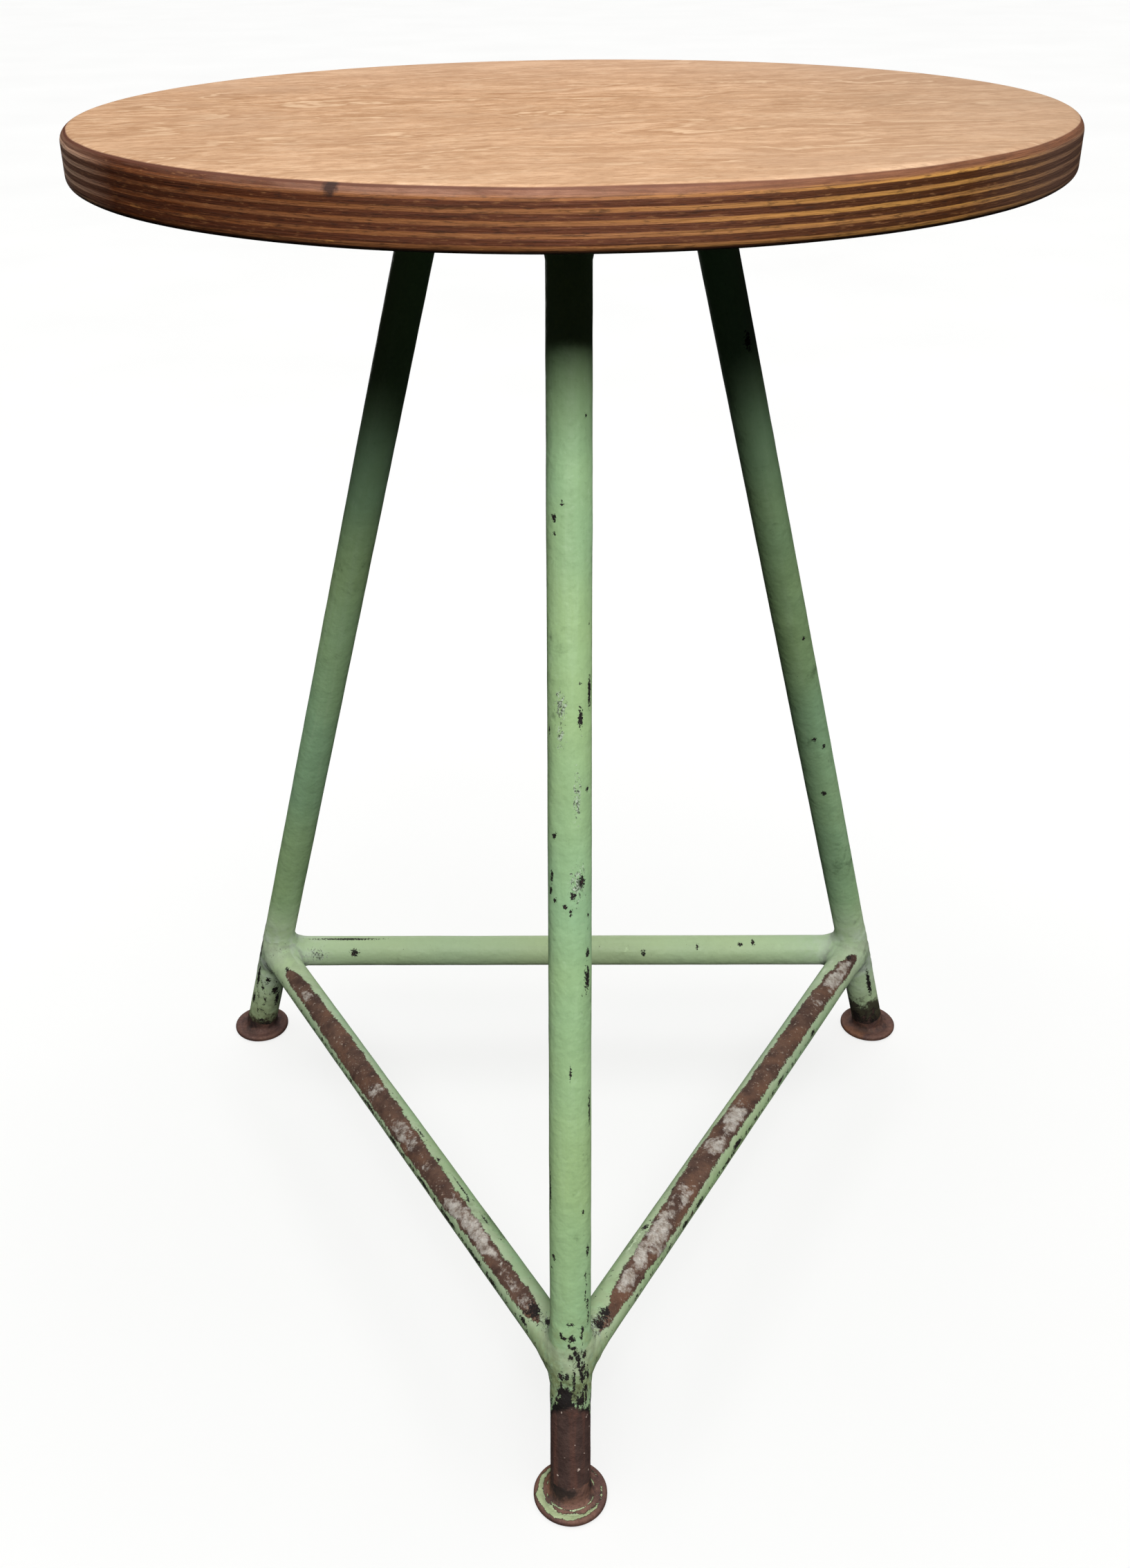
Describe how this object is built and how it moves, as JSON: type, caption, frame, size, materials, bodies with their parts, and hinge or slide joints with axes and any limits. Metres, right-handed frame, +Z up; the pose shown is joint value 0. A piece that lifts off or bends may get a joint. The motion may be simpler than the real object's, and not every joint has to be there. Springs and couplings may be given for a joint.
{
  "type": "adjustable swivel stool",
  "caption": "Three-legged workshop stool with a round plywood seat that turns and rises on a screw spindle, and a triangular footrest of round bars.",
  "frame": {"origin": "the stool's vertical axis at floor level, under the middle of the seat", "axes": "+Z up along the spindle, front leg towards -Y, the other two legs towards +X+Y and -X+Y"},
  "size_m": [0.3732, 0.3881, 0.4925],
  "materials": {
    "plywood": "satin oiled veneer, dark striped edge",
    "green_paint": "satin, chipped, worn to rusty steel",
    "rusty_steel": "rusty, matt",
    "oily_steel": "dark, oiled"
  },
  "bodies": {
    "frame": {"spindle_nut": "oily_steel", "nut_weld": "green_paint", "top_plate": "green_paint", "leg_front": "green_paint", "leg_weld_front": "green_paint", "footrest_weld_front": "green_paint", "foot_disc_front": "rusty_steel", "foot_weld_front": "rusty_steel", "leg_right": "green_paint", "leg_weld_right": "green_paint", "footrest_weld_right": "green_paint", "foot_disc_right": "rusty_steel", "foot_weld_right": "rusty_steel", "leg_left": "green_paint", "leg_weld_left": "green_paint", "footrest_weld_left": "green_paint", "foot_disc_left": "rusty_steel", "foot_weld_left": "rusty_steel", "footrest_bar_right": "green_paint", "footrest_bar_left": "green_paint", "footrest_bar_rear": "green_paint"},
    "lift_stop": {"stop_washer": "oily_steel"},
    "seat": {"seat_board": "plywood", "seat_flange": "oily_steel", "seat_screws": "oily_steel", "spindle": "oily_steel", "flange_weld": "oily_steel", "stop_pin": "oily_steel"}
  },
  "joints": [
    {"name": "seat_lift", "type": "slide", "parent": "frame", "child": "lift_stop", "axis": [0, 0, 1], "range_m": [0, 0.1101]},
    {"name": "seat_turn", "type": "hinge", "parent": "lift_stop", "child": "seat", "pos_m": [0, 0, 0.4], "axis": [0, 0, 1], "range_deg": [0, 9900]}
  ],
  "couplings": [
    {"joint": "seat_lift", "follows": "seat_turn", "m_per_rad": 0.00063662}
  ]
}
